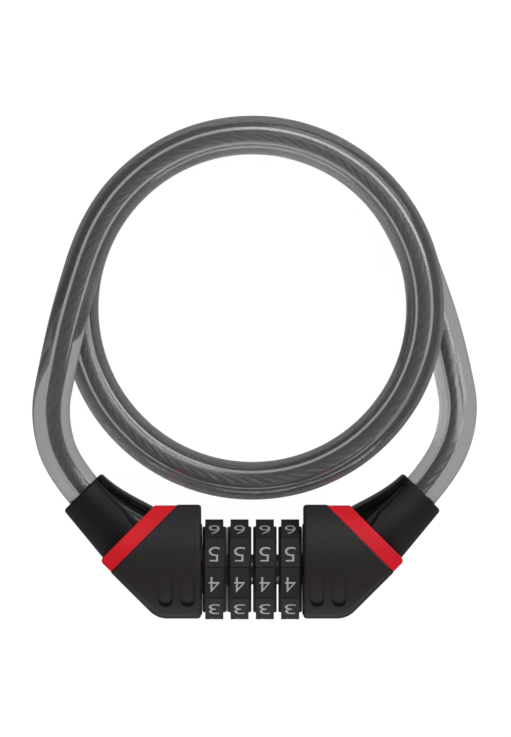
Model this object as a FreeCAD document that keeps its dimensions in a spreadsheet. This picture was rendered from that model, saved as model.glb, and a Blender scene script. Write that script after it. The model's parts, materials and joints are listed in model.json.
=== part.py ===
import FreeCAD, Part
import math
import os
import Sketcher

# A four-dial combination cable lock, lying on its back.
# +X runs along the dial axis from the lock housing to the plug, +Y towards the coiled cable,
# +Z up, out of the face with the numbers. Millimetres. The table is at Z = 0.
#
# Every piece is drawn about the dial axis, with X = Y = Z = 0 there, and its Placement sets it in
# the lock. The slanted end of a housing has two directions of its own: "along" runs out of the
# housing at 45 degrees, through collar, sleeve and cable, and "across" is square to it.

Vector = FreeCAD.Vector
Rotation = FreeCAD.Rotation
Placement = FreeCAD.Placement

SIZES = [
    # name, value, what it is
    ("cable_diameter", 10.0, "outside of the cable's sheath"),
    ("dial_pitch", 6.7, "from one dial to the next"),
    ("dial_gap", 0.45, "open gap between two dials"),
    ("dial_corner_radius", 13.8, "axis to the corners of a dial's ten-sided rim"),
    ("dial_rim_width", 4.8, "width of the ten-sided rim"),
    ("dial_facet_hollow", 0.22, "depth by which each facet is hollowed"),
    ("dial_seam_width", 0.5, "groove along each corner of the rim"),
    ("dial_seam_depth", 0.3, "depth of that groove"),
    ("dial_hub_radius", 11.4, "round shoulders of a dial"),
    ("dial_bore_radius", 8.2, "bore of a dial, round its code ring"),
    ("dial_seam_turn", 2.9, "angle from the front to the nearest corner, at rest"),
    ("end_gap", 0.35, "gap between the end dials and the housings"),
    ("ring_clearance", 0.05, "running fit of the code rings and of the shaft"),
    ("ring_gap", 0.8, "gap between two code rings"),
    ("ring_groove_radius", 6.1, "bottom of a code ring's lug groove"),
    ("ring_groove_width", 2.6, "width of that groove"),
    ("spline_width", 1.1, "splines between a code ring and its dial"),
    ("spline_height", 0.5, "how far they stand out"),
    ("spline_clearance", 0.07, "play round a spline"),
    ("keyway_width", 2.6, "keyway of a code ring"),
    ("detent_width", 0.9, "click notches in the bore of a code ring"),
    ("detent_depth", 0.4, "depth of those notches"),
    ("spindle_radius", 4.0, "tube that carries the dials"),
    ("spindle_slot_width", 2.4, "slot that the lugs slide in"),
    ("root_wall", 2.9, "wall between the spindle's root and the ferrule"),
    ("spindle_reach", 2.9, "spindle past the plug's face, in its counterbore"),
    ("flange_radius", 6.4, "flange and retaining ring at the ends of the dial stack"),
    ("flange_width", 1.0, "thickness of flange and retaining ring"),
    ("retainer_groove_radius", 3.5, "bottom of the retaining ring's groove"),
    ("retainer_play", 0.05, "end play of the retaining ring and of its groove"),
    ("turned_edge", 0.3, "bevel on dials and on the spindle's end"),
    ("shaft_radius", 2.45, "shaft of the plug"),
    ("head_wall", 1.9, "wall between the shaft's head and the ferrule"),
    ("lug_width", 2.2, "lugs on the shaft, across"),
    ("lug_length", 1.6, "lugs on the shaft, along it"),
    ("lug_play", 0.3, "lug tip to the bottom of the code ring's groove"),
    ("spring_width", 2.0, "click spring"),
    ("spring_thickness", 0.3, "click spring"),
    ("spring_groove_depth", 0.9, "flat groove for it along the spindle"),
    ("spring_margin", 0.5, "end of that groove from the end of the dial stack"),
    ("spacer_radius", 11.2, "washer between the first two dials"),
    ("spacer_play", 0.05, "gap on each side of that washer"),
    ("pin_radius", 1.0, "cross pins of spindle and shaft"),
    ("ferrule_pin_radius", 1.5, "cross pins of the ferrules"),
    ("pin_recess", 0.3, "pin ends below the back of the housing"),
    ("pin_end", 9.0, "inner ends of the pins, above the dial axis"),
    ("pin_margin", 3.7, "cross pin from the root of the spindle"),
    ("ferrule_pin_margin", 2.1, "cross pin from the end of the ferrule"),
    ("pin_clearance", 0.02, "pins and fixed shafts in their holes"),
    ("counterbore_play", 0.6, "retaining ring to the wall of the plug's counterbore"),
    ("counterbore_end_play", 0.4, "spindle's end to the bottom of the counterbore"),
    ("body_depth", 29.2, "housing, front to back, before the resting land is cut"),
    ("land_cut", 0.3, "height cut off the back for the resting land"),
    ("body_top", 17.1, "flat top of the housings above the dial axis"),
    ("body_bottom", 12.9, "flat bottom below the dial axis"),
    ("crown_radius", 24.0, "crown of front and back"),
    ("crown_offset", 1.0, "top of the crown above the dial axis"),
    ("slant_along", 26.1, "slanted end face of a housing, along"),
    ("nose_across", 26.9, "lower corner of that face, across"),
    ("nose_radius", 6.5, "bend from the nose to the bottom"),
    ("body_edge_radius", 0.9, "rounding of the housing's inner rim"),
    ("joint_edge_radius", 0.4, "rounding of the housing where the collar meets it"),
    ("top_edge_radius", 1.6, "rounding of the top's long edges"),
    ("bottom_edge_radius", 2.4, "rounding of the bottom's long edges"),
    ("flute_width", 3.8, "finger flutes"),
    ("flute_spacing", 5.85, "from one flute to the next"),
    ("flute_inset", 3.55, "inner flute's centre from the housing's inner face"),
    ("flute_top", 1.2, "where the flutes run out, below the dial axis"),
    ("flute_bottom", 9.85, "lower end of the flutes"),
    ("flute_depth", 0.9, "depth of the flutes at their lower end"),
    ("flute_start", 0.05, "their depth at the top"),
    ("flute_wall_lean", 22.0, "lean of their walls, in degrees"),
    ("notch_ring_radius", 12.0, "notched ring on a housing's inner face"),
    ("notch_ring_wall", 2.4, "its radial width"),
    ("notch_ring_play", 0.08, "its gap to the end dial"),
    ("notch_depth", 0.25, "how far its notches go on into the housing"),
    ("collar_thickness", 4.15, "red collar, along"),
    ("collar_inset", 0.2, "collar's sides inside the housing's"),
    ("collar_round", 1.2, "rounded nose of the collar"),
    ("collar_edge_radius", 0.3, "rounding of the collar's outer edge"),
    ("sleeve_length", 16.1, "cable sleeve, along"),
    ("sleeve_mouth_radius", 7.05, "round end of the sleeve, where the cable leaves"),
    ("sleeve_base_depth", 21.0, "sleeve at the collar, front to back"),
    ("sleeve_base_outer", 25.8, "sleeve's outer side at the collar, across"),
    ("sleeve_base_inner", 6.7, "sleeve's flared inner side at the collar, across"),
    ("sleeve_edge_radius", 0.9, "rounding of the mouth"),
    ("scoop_depth", 2.6, "scoop in the inner flank, at the collar"),
    ("scoop_inset", 0.25, "core inside the inner flank"),
    ("scoop_edge", 5.0, "foot of the scoop's edge from the sleeve's centre line"),
    ("scoop_floor", 4.6, "where that edge starts, from the middle of the sleeve's depth"),
    ("scoop_lean", 20.0, "lean of that edge, in degrees"),
    ("scoop_step", 2.4, "size of the step in that edge, near the collar"),
    ("scoop_end", 2.0, "end of the scoop from the sleeve's mouth"),
    ("cable_across", 17.2, "centre line of cable and sleeve, across"),
    ("cable_clearance", 0.1, "cable in the sleeve's mouth"),
    ("ferrule_radius", 6.4, "crimped ferrule"),
    ("ferrule_start", 21.3, "inner end of the ferrule, along"),
    ("ferrule_length", 16.7, "ferrule, along"),
    ("ferrule_clearance", 0.05, "ferrule in its bore"),
    ("coil_radius", 45.8, "centre line of the coil"),
    ("coil_centre", 69.3, "coil's centre above the dial axis"),
    ("layer_pitch", 10.2, "from one layer of the coil to the next"),
    ("coil_gap", 0.3, "gap between the plug's cable and the coil"),
]
DIALS = 4
FACETS = 10
LAYERS = 3
LEFT, RIGHT = -1, 1

# Points of the cable's centre line from the ferrules to the coil: X and Y about the dial axis, and Z
# above the table. Chosen by hand. The left arm climbs over the coil, the right one dives under it.
LEFT_ARM = [
    (-39.03, 14.71, 14.3),
    (-49.80, 25.48, 14.3),
    (-54.10, 40.30, 18.5),
    (-51.30, 54.50, 24.0),
    (-48.00, 69.30, 25.4),
    (-43.54, 83.50, 25.4),
]
RIGHT_ARM = [
    (39.03, 14.71, 14.3),
    (49.80, 25.48, 14.3),
    (55.50, 40.30, 11.0),
    (52.95, 54.50, 6.3),
    (49.00, 69.30, 5.0),
    (43.54, 83.50, 5.0),
]


# ---------------------------------------------------------------- the sheet of sizes

doc = FreeCAD.newDocument("cable_lock")
sheet = doc.addObject("Spreadsheet::Sheet", "sizes")
for row, (alias, number, meaning) in enumerate(SIZES, start=1):
    sheet.set(f"A{row}", str(number))
    sheet.setAlias(f"A{row}", alias)
    sheet.set(f"B{row}", meaning)
doc.recompute()


def value(expression):
    """The number that an expression on the sheet has now."""
    return float(sheet.evalExpression(expression))


# Values that follow from the driving sizes, as expressions.
STACK_HALF = f"(sizes.dial_pitch * {DIALS} / 2)"
HUB_WIDTH = "(sizes.dial_pitch - sizes.dial_gap)"
RING_WIDTH = "(sizes.dial_pitch - sizes.ring_gap)"
FACE = f"({STACK_HALF} - sizes.dial_gap / 2 + sizes.end_gap)"
AXIS_HEIGHT = "(sizes.body_depth / 2 - sizes.land_cut)"
CROWN_CENTRE = "(sizes.crown_radius - sizes.body_depth / 2)"
COLLAR_END = "(sizes.slant_along + sizes.collar_thickness)"
MOUTH = f"({COLLAR_END} + sizes.sleeve_length)"
LUG_RADIUS = "(sizes.ring_groove_radius - sizes.lug_play)"
RING_BORE = "(sizes.spindle_radius + sizes.ring_clearance)"
SPINDLE_END = f"({FACE} + sizes.spindle_reach)"
# The lock's own bounding box is centred on Y = 0: lowest is a dial's rim, highest a sleeve's mouth.
SLEEVE_TOP = (f"(({MOUTH} - sizes.cable_across + sizes.sleeve_mouth_radius) / sqrt(2)"
              " - sizes.sleeve_edge_radius * (sqrt(2) - 1))")
RIM_BOTTOM = f"(sizes.dial_corner_radius * sin({3 * 360 / FACETS} - sizes.dial_seam_turn))"
AXIS_Y = f"(({RIM_BOTTOM} - {SLEEVE_TOP}) / 2)"

COUNTERBORE = "(sizes.spindle_reach + sizes.counterbore_end_play)"
SHOULDER = f"({FACE} + {COUNTERBORE})"
# Spindle and shaft reach as far into the housings as the ferrules leave room for them.
ROOT = "(sizes.ferrule_start * sqrt(2) - sizes.spindle_radius - sizes.root_wall)"
HEAD_END = "(sizes.ferrule_start * sqrt(2) - sizes.spindle_radius - sizes.head_wall)"
CROSS_PIN_X = {
    LEFT: f"-({ROOT} - sizes.pin_margin)",
    RIGHT: f"(({SHOULDER} + {HEAD_END}) / 2)",
}
FERRULE_PIN = "(sizes.ferrule_start + sizes.ferrule_pin_margin)"
RING_OUTSIDE = "(sizes.dial_bore_radius - sizes.ring_clearance)"
SPRING_FLOOR = "(sizes.spindle_radius - sizes.spring_groove_depth)"
SPRING_HALF = f"({STACK_HALF} - sizes.spring_margin)"
# The sleeve's oval sections: share of its length, and how far its inner side and its depth are from
# the mouth's, as shares of the whole flare.
SLEEVE_SECTIONS = ((0, 1, 1), (0.2, 0.71, 0.85), (0.48, 0.33, 0.55), (1, 0, 0))
SLEEVE_SPREAD = "(sizes.sleeve_base_outer - sizes.cable_across - sizes.sleeve_mouth_radius)"
SLEEVE_FLARE = "(sizes.cable_across - sizes.sleeve_mouth_radius - sizes.sleeve_base_inner)"
SLEEVE_DEEPENING = "(sizes.sleeve_base_depth / 2 - sizes.sleeve_mouth_radius)"

NODES = []


def dial_x(number):
    """Middle of a dial, counted from the lock housing, as an expression."""
    return f"({number - (DIALS + 1) / 2} * sizes.dial_pitch)"


# ---------------------------------------------------------------- helpers

def new_body(name):
    return doc.addObject("PartDesign::Body", name)


def plane(body, role):
    return next(f for f in body.Origin.OriginFeatures if f.Role == role)


def sketch_on(body, name, role, offset=None, turn=None):
    """A sketch on one of the body's origin planes, lifted by an expression or turned by a placement."""
    sketch = body.newObject("Sketcher::SketchObject", name)
    sketch.AttachmentSupport = [(plane(body, role), "")]
    sketch.MapMode = "FlatFace"
    if turn is not None:
        sketch.AttachmentOffset = turn
    if offset is not None:
        sketch.setExpression("AttachmentOffset.Base.z", offset)
    return sketch


def hold(sketch, kind, *parts):
    """A dimension of the sketch that follows an expression, the last of the parts."""
    expression = parts[-1]
    index = sketch.addConstraint(Sketcher.Constraint(kind, *parts[:-1], value(expression)))
    sketch.setExpression(f"Constraints[{index}]", expression)


def outline(sketch, points):
    """A closed outline of straight lines; each corner is a pair of expressions."""
    corners = [Vector(value(u), value(v), 0) for u, v in points]
    first = sketch.GeometryCount
    count = len(corners)
    for i in range(count):
        line = Part.LineSegment(corners[i], corners[(i + 1) % count])
        sketch.addGeometry(line, False)
    for i in range(count):
        following = first + (i + 1) % count
        sketch.addConstraint(Sketcher.Constraint("Coincident", first + i, 2, following, 1))
    for i, (u, v) in enumerate(points):
        hold(sketch, "DistanceX", -1, 1, first + i, 1, u)
        hold(sketch, "DistanceY", -1, 1, first + i, 1, v)


def circle(sketch, radius, u="0", v="0"):
    """A circle whose radius and centre are expressions."""
    centre = Vector(value(u), value(v), 0)
    index = sketch.addGeometry(Part.Circle(centre, Vector(0, 0, 1), value(radius)), False)
    hold(sketch, "Radius", index, radius)
    hold(sketch, "DistanceX", -1, 1, index, 3, u)
    hold(sketch, "DistanceY", -1, 1, index, 3, v)


def rectangle(sketch, left, right, low, high):
    outline(sketch, [(left, low), (right, low), (right, high), (left, high)])


def notch(sketch, width, radius, depth):
    """A V cut into a round wall at its top: inwards where the depth is negative, else outwards."""
    base = f"({radius} - {depth})"
    tip = f"({radius} + {depth})"
    outline(sketch, [(f"-{width}", base), (width, base), ("0", tip)])


def obround(sketch, middle, half, high, low):
    """An upright outline with round ends, between two heights."""
    left, right = f"({middle} - {half})", f"({middle} + {half})"
    upper, lower = f"({high} - {half})", f"({low} + {half})"
    u, radius, top, bottom = value(middle), value(half), value(upper), value(lower)
    first = sketch.GeometryCount
    flat = Vector(0, 0, 1)
    upper_circle = Part.Circle(Vector(u, top, 0), flat, radius)
    lower_circle = Part.Circle(Vector(u, bottom, 0), flat, radius)
    sketch.addGeometry(Part.LineSegment(Vector(u - radius, top, 0), Vector(u - radius, bottom, 0)))
    sketch.addGeometry(Part.ArcOfCircle(lower_circle, math.pi, 2 * math.pi))
    sketch.addGeometry(Part.LineSegment(Vector(u + radius, bottom, 0), Vector(u + radius, top, 0)))
    sketch.addGeometry(Part.ArcOfCircle(upper_circle, 0, math.pi))
    for i in range(4):
        sketch.addConstraint(Sketcher.Constraint("Coincident", first + i, 2, first + (i + 1) % 4, 1))
    for i, point, across, up in ((0, 1, left, upper), (0, 2, left, lower),
                                 (2, 1, right, lower), (2, 2, right, upper)):
        hold(sketch, "DistanceX", -1, 1, first + i, point, across)
        hold(sketch, "DistanceY", -1, 1, first + i, point, up)
    hold(sketch, "DistanceY", -1, 1, first + 1, 3, lower)
    hold(sketch, "DistanceY", -1, 1, first + 3, 3, upper)


def half_round(sketch, middle, radius, base):
    """Half a disc that stands on a base line."""
    u, v, size = value(middle), value(base), value(radius)
    whole = Part.Circle(Vector(u, v, 0), Vector(0, 0, 1), size)
    sketch.addGeometry(Part.LineSegment(Vector(u - size, v, 0), Vector(u + size, v, 0)))
    sketch.addGeometry(Part.ArcOfCircle(whole, 0, math.pi))
    sketch.addConstraint(Sketcher.Constraint("Coincident", 0, 2, 1, 1))
    sketch.addConstraint(Sketcher.Constraint("Coincident", 1, 2, 0, 1))
    for point, sign in ((1, "-"), (2, "+")):
        hold(sketch, "DistanceX", -1, 1, 0, point, f"({middle} {sign} {radius})")
        hold(sketch, "DistanceY", -1, 1, 0, point, base)
    hold(sketch, "DistanceY", -1, 1, 1, 3, base)


def pad(body, name, sketch, length, midplane=True, reverse=False):
    feature = body.newObject("PartDesign::Pad", name)
    feature.Profile = sketch
    feature.SideType = "Symmetric" if midplane else "One side"
    feature.Reversed = reverse
    feature.setExpression("Length", length)
    return feature


def pocket(body, name, sketch, length, midplane=True, reverse=False):
    """A pocket that must take material away."""
    doc.recompute()
    before = body.Shape.Volume
    feature = body.newObject("PartDesign::Pocket", name)
    feature.Profile = sketch
    feature.SideType = "Symmetric" if midplane else "One side"
    feature.Reversed = reverse
    feature.setExpression("Length", length)
    doc.recompute()
    if body.Shape.Volume >= before - 1e-6:
        raise RuntimeError(f"{body.Name}: {name} cuts nothing")
    return feature


def revolve(body, name, sketch, role="X_Axis"):
    feature = body.newObject("PartDesign::Revolution", name)
    feature.Profile = sketch
    feature.ReferenceAxis = (plane(body, role), [""])
    feature.Angle = 360
    return feature


def around(body, name, feature, count):
    """The feature repeated evenly about the dial axis."""
    pattern = body.newObject("PartDesign::PolarPattern", name)
    pattern.Originals = [feature]
    pattern.Axis = (plane(body, "X_Axis"), [""])
    pattern.Angle = 360
    pattern.Occurrences = count
    body.Tip = pattern
    return pattern


def bore(body, name, radius, length, base, direction):
    """A round hole from a base point, as three expressions, along a direction."""
    doc.recompute()
    before = body.Shape.Volume
    hole = body.newObject("PartDesign::SubtractiveCylinder", name)
    hole.AttachmentSupport = [(plane(body, "XY_Plane"), "")]
    hole.MapMode = "FlatFace"
    hole.AttachmentOffset = Placement(Vector(), Rotation(Vector(0, 0, 1), direction))
    hole.setExpression("Radius", radius)
    hole.setExpression("Height", length)
    for axis, expression in zip("xyz", base):
        hole.setExpression(f"AttachmentOffset.Base.{axis}", expression)
    doc.recompute()
    if body.Shape.Volume >= before - 1e-6:
        raise RuntimeError(f"{body.Name}: {name} cuts nothing")
    return hole


def round_edges(body, name, radius, chosen, kind="Fillet"):
    """Fillet or chamfer on the edges of the last feature for which chosen(edge) is true."""
    doc.recompute()
    base = body.Tip
    names = [f"Edge{i}" for i, e in enumerate(base.Shape.Edges, start=1) if chosen(e)]
    if not names:
        raise RuntimeError(f"{body.Name}: {name} finds no edge")
    feature = body.newObject(f"PartDesign::{kind}", name)
    feature.Base = (base, names)
    feature.Refine = False
    feature.setExpression("Radius" if kind == "Fillet" else "Size", radius)
    doc.recompute()
    return feature


def primitive(kind, name, x="0", y="0", z="0", rotation=Rotation(), **sizes):
    """A Part primitive whose sizes and place are expressions."""
    piece = doc.addObject(f"Part::{kind}", name)
    piece.Placement = Placement(Vector(), rotation)
    for field, expression in sizes.items():
        piece.setExpression(field, expression)
    for axis, expression in zip("xyz", (x, y, z)):
        piece.setExpression(f"Placement.Base.{axis}", expression)
    return piece


def combine(kind, name, base, tool):
    """Part::Cut or Part::Fuse of two pieces."""
    piece = doc.addObject(f"Part::{kind}", name)
    piece.Base = base
    piece.Tool = tool
    return piece


def extruded(name, profile, length):
    """Prism of a loose sketch, as far to both sides of its plane."""
    prism = doc.addObject("Part::Extrusion", name)
    prism.Base = profile
    prism.DirMode = "Normal"
    prism.Symmetric = True
    prism.Solid = True
    prism.setExpression("LengthFwd", length)
    return prism


def finish(piece, label, x="0", y="0", z="0", rotation=Rotation()):
    """Labels a piece, sets it at a place measured from the dial axis and lists it as a node."""
    piece.Label = label
    piece.Placement = Placement(Vector(), rotation)
    piece.setExpression("Placement.Base.x", x)
    piece.setExpression("Placement.Base.y", f"{AXIS_Y} + {y}")
    piece.setExpression("Placement.Base.z", f"{AXIS_HEIGHT} + {z}")
    NODES.append(piece)
    return piece


def slant_x(hand, along, across):
    """X of a point of a slanted end, as an expression. hand is LEFT or RIGHT."""
    return f"({hand} * ({along} + {across}) / sqrt(2))"


def slant_y(along, across):
    return f"(({along} - {across}) / sqrt(2))"


def along_direction(hand):
    return Vector(hand, 1, 0).normalize()


def across_direction(hand):
    return Vector(hand, -1, 0).normalize()


def near(a, b, tolerance=0.01):
    return abs(a - b) < tolerance


def lies_along(edge, hand, along):
    """True if the whole edge lies in a plane square to a slanted end, at a place along it."""
    return all(near(v.Point.dot(along_direction(hand)), value(along)) for v in edge.Vertexes)


# ---------------------------------------------------------------- housings and collars

def cut_to_section(body, inset="0"):
    """Leaves of a body only what lies inside the lock's crowned section, less an inset."""
    frame = sketch_on(body, body.Name + "_section", "YZ_Plane")
    top = f"(sizes.body_top - {inset})"
    bottom = f"-(sizes.body_bottom - {inset})"
    radius = f"(sizes.crown_radius - {inset})"
    middle, crown, sunk = value("sizes.crown_offset"), value(radius), value(CROWN_CENTRE)
    low, high = value(bottom), value(top)

    def front(y, side=1):
        """A point of the crowned front, or of the back, at a place up the section."""
        return Vector(y, side * (math.sqrt(crown ** 2 - (y - middle) ** 2) - sunk), 0)

    corners = [front(low), front(low, -1), front(high, -1), front(high)]
    geometry = [
        Part.LineSegment(corners[0], corners[1]),
        Part.Arc(corners[1], front(middle, -1), corners[2]),
        Part.LineSegment(corners[2], corners[3]),
        Part.Arc(corners[3], front(middle), corners[0]),
    ]
    starts = []
    for index, item in enumerate(geometry):
        frame.addGeometry(item, False)
        at_start = near(frame.getPoint(index, 1).distanceToPoint(corners[index]), 0)
        starts.append(1 if at_start else 2)
    for index in range(len(geometry)):
        following = (index + 1) % len(geometry)
        joint = ("Coincident", index, 3 - starts[index], following, starts[following])
        frame.addConstraint(Sketcher.Constraint(*joint))
    for index, side in ((1, ""), (3, "-")):
        hold(frame, "Radius", index, radius)
        hold(frame, "DistanceX", -1, 1, index, 3, "sizes.crown_offset")
        hold(frame, "DistanceY", -1, 1, index, 3, f"{side}{CROWN_CENTRE}")
    for index, place in ((0, bottom), (2, top)):
        frame.addConstraint(Sketcher.Constraint("Vertical", index))
        hold(frame, "DistanceX", -1, 1, index, 1, place)
    far = "(sizes.body_depth * 2)"
    rectangle(frame, f"-{far}", far, f"-{far}", far)
    return pocket(body, body.Name + "_crown", frame, "sizes.body_depth * 6")


def cut_land(body, inset="0"):
    """Cuts the crowned back flat, where the lock lies on the table."""
    land = sketch_on(body, body.Name + "_land", "XY_Plane", offset=f"-({AXIS_HEIGHT} - {inset})")
    far = "(sizes.body_depth * 2)"
    rectangle(land, f"-{far}", far, f"-{far}", far)
    return pocket(body, body.Name + "_land_cut", land, "sizes.body_depth", False)


def surface_at(below):
    """Height of a housing's crowned front at a distance below the dial axis, as an expression."""
    return f"(sqrt(sizes.crown_radius ^ 2 - ({below} + sizes.crown_offset) ^ 2) - {CROWN_CENTRE})"


def flutes(name, hand, side):
    """Cutter for the two finger flutes of the front (side 1) or back (side -1).

    Their floors are the crown turned in a little about the flutes' tops, so that they deepen
    downwards, and their walls lean outwards at the lower end.
    """
    name = f"{name}_flute_{side + 1}"
    top, reach = "sizes.flute_top", "(sizes.flute_bottom - sizes.flute_top)"
    high, drop = surface_at(top), f"({surface_at(top)} - {surface_at('sizes.flute_bottom')})"
    lean = "sizes.flute_wall_lean"
    plan = doc.addObject("Sketcher::SketchObject", name + "_plan")
    plan.Placement = Placement(Vector(), Rotation(Vector(1, 0, 0), 1))
    plan.setExpression("Placement.Base.y", f"-{top}")
    plan.setExpression("Placement.Base.z", f"{side} * {high}")
    plan.setExpression("Placement.Rotation.Angle", f"{side} * {lean}")
    low = f"(-({reach} * cos({lean}) + {drop} * sin({lean})))"
    for number in range(2):
        middle = f"({hand} * ({FACE} + sizes.flute_inset + {number} * sizes.flute_spacing))"
        obround(plan, middle, "sizes.flute_width / 2", "0", low)
    block = extruded(name + "_block", plan, "sizes.body_depth / 2")
    # The floor's centre: the crown's own, turned about the flutes' top.
    turn = f"((sizes.flute_depth - sizes.flute_start) / {reach} * 180 / pi)"
    aside = f"({top} + sizes.crown_offset)"
    above = f"sqrt(sizes.crown_radius ^ 2 - {aside} ^ 2)"
    floor = primitive(
        "Cylinder", name + "_floor", x="-sizes.body_depth * 2",
        y=f"{aside} * cos({turn}) + {above} * sin({turn}) - {top}",
        z=f"{side} * ({high} - sizes.flute_start - {above} * cos({turn}) + {aside} * sin({turn}))",
        rotation=Rotation(Vector(0, 1, 0), 90),
        Radius="sizes.crown_radius", Height="sizes.body_depth * 4",
    )
    return combine("Cut", name, block, floor)


def notched_ring(body, hand):
    """Ring on the inner face beside the end dial, with a notch at each corner of that dial."""
    top = f"({hand} * ({FACE} - sizes.end_gap + sizes.notch_ring_play))"
    length = "(sizes.end_gap - sizes.notch_ring_play + sizes.notch_depth)"
    outer, inner = "sizes.notch_ring_radius", "(sizes.notch_ring_radius - sizes.notch_ring_wall)"
    ring = sketch_on(body, body.Name + "_ring", "YZ_Plane", offset=top)
    circle(ring, outer)
    circle(ring, inner)
    pad(body, body.Name + "_ring_pad", ring, length, False, hand == LEFT)
    turned = Placement(Vector(), Rotation(Vector(0, 0, 1), 1))
    notch = sketch_on(body, body.Name + "_notch", "YZ_Plane", offset=top, turn=turned)
    notch.setExpression("AttachmentOffset.Rotation.Angle", "-sizes.dial_seam_turn")
    half = f"(sizes.notch_ring_radius * sin(360 / {FACETS} / 4))"
    rectangle(notch, f"-{half}", half, inner, f"({outer} + sizes.notch_depth)")
    cut = pocket(body, body.Name + "_notch_cut", notch, length, False, hand == RIGHT)
    around(body, body.Name + "_notches", cut, FACETS)


def ferrule_bore(body, hand, start, length):
    """The slanted bore for the ferrule, from a place along it, back into the body."""
    base = (slant_x(hand, start, "sizes.cable_across"), slant_y(start, "sizes.cable_across"), "0")
    radius = "(sizes.ferrule_radius + sizes.ferrule_clearance)"
    bore(body, body.Name + "_ferrule_bore", radius, length, base, -along_direction(hand))


def pin_hole(body, name, radius, x, y):
    """A blind cross hole, open at the back."""
    bore(body, name, f"({radius} + sizes.pin_clearance)",
         f"({AXIS_HEIGHT} + 1 + sizes.pin_end + sizes.pin_clearance)",
         (x, y, f"-({AXIS_HEIGHT} + 1)"), Vector(0, 0, 1))


def housing(name, hand):
    """Housing of the lock, on the left, or of the plug, on the right."""
    body = new_body(name + "_body")
    face = f"({hand} * {FACE})"
    nose = ("sizes.slant_along", "sizes.nose_across")
    foot = f"({hand} * (sizes.nose_across * sqrt(2) - sizes.body_bottom))"
    plan = sketch_on(body, name + "_plan", "XY_Plane")
    outline(plan, [
        (face, "-sizes.body_bottom"),
        (face, "sizes.body_top"),
        (f"({hand} * (sizes.slant_along * sqrt(2) - sizes.body_top))", "sizes.body_top"),
        (slant_x(hand, *nose), slant_y(*nose)),
        (foot, "-sizes.body_bottom"),
    ])
    pad(body, name + "_block", plan, "sizes.body_depth * 1.1")
    round_edges(body, name + "_nose_bend", "sizes.nose_radius",
                lambda e: near(e.CenterOfMass.x, value(foot)) and near(e.BoundBox.XLength, 0))
    cut_to_section(body)
    low, high = -value("sizes.body_bottom"), value("sizes.body_top")
    round_edges(body, name + "_bottom_edges", "sizes.bottom_edge_radius",
                lambda e: near(e.BoundBox.YMax, low) and e.BoundBox.XLength > 1)
    round_edges(body, name + "_top_edges", "sizes.top_edge_radius",
                lambda e: near(e.BoundBox.YMin, high) and e.BoundBox.XLength > 1)
    round_edges(body, name + "_inner_rim", "sizes.body_edge_radius",
                lambda e: near(e.BoundBox.XMin, value(face)) and near(e.BoundBox.XMax, value(face)))
    round_edges(body, name + "_outer_rim", "sizes.joint_edge_radius",
                lambda e: lies_along(e, hand, "sizes.slant_along"))
    cut_land(body)
    ferrule_bore(body, hand, "(sizes.slant_along + 1)",
                 "(sizes.slant_along + 1 - sizes.ferrule_start)")
    inward = Vector(hand, 0, 0)
    at_face = (face, "0", "0")
    if hand == LEFT:
        bore(body, name + "_flange_seat", "(sizes.flange_radius + sizes.ring_clearance)",
             "(sizes.flange_width - sizes.end_gap)", at_face, inward)
        bore(body, name + "_spindle_seat", "(sizes.spindle_radius + sizes.pin_clearance)",
             f"({ROOT} - {FACE})", at_face, inward)
    else:
        bore(body, name + "_counterbore", "(sizes.flange_radius + sizes.counterbore_play)",
             COUNTERBORE, at_face, inward)
        bore(body, name + "_shaft_seat", "(sizes.spindle_radius + sizes.pin_clearance)",
             f"({HEAD_END} - {FACE})", at_face, inward)
    pin_hole(body, name + "_cross_hole", "sizes.pin_radius", CROSS_PIN_X[hand], "0")
    pin_hole(body, name + "_ferrule_pin_hole", "sizes.ferrule_pin_radius",
             slant_x(hand, FERRULE_PIN, "sizes.cable_across"),
             slant_y(FERRULE_PIN, "sizes.cable_across"))
    notched_ring(body, hand)
    front = combine("Cut", name + "_front", body, flutes(name, hand, 1))
    return finish(combine("Cut", name, front, flutes(name, hand, -1)), name)


def collar(name, hand):
    """Red collar on a slanted end, its top flush with the housing's."""
    body = new_body(name)
    plan = sketch_on(body, name + "_plan", "XY_Plane")
    near_side, far_side = "sizes.slant_along", COLLAR_END
    nose = "(sizes.nose_across - sizes.collar_inset)"
    top = "(sizes.body_top * sqrt(2))"
    corners = [
        (near_side, nose), (far_side, nose),
        (far_side, f"({far_side} - {top})"), (near_side, f"({near_side} - {top})"),
    ]
    outline(plan, [(slant_x(hand, *c), slant_y(*c)) for c in corners])
    pad(body, name + "_block", plan, "sizes.body_depth * 1.1")
    tip_x = value(slant_x(hand, far_side, nose))
    round_edges(body, name + "_nose", "sizes.collar_round",
                lambda e: near(e.CenterOfMass.x, tip_x) and near(e.BoundBox.XLength, 0))
    cut_to_section(body, "sizes.collar_inset")
    round_edges(body, name + "_outer_edge", "sizes.collar_edge_radius",
                lambda e: lies_along(e, hand, far_side))
    cut_land(body, "sizes.collar_inset")
    ferrule_bore(body, hand, f"({far_side} + 1)", "(sizes.collar_thickness + 2)")
    return finish(body, name)


# ---------------------------------------------------------------- cable sleeves and ferrules

def slanted(hand):
    """Turns a piece drawn with Z along a slanted end and X across it to its place in the lock."""
    depth = along_direction(hand).cross(across_direction(hand))
    return Rotation(across_direction(hand), depth, along_direction(hand), "ZXY")


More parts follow.
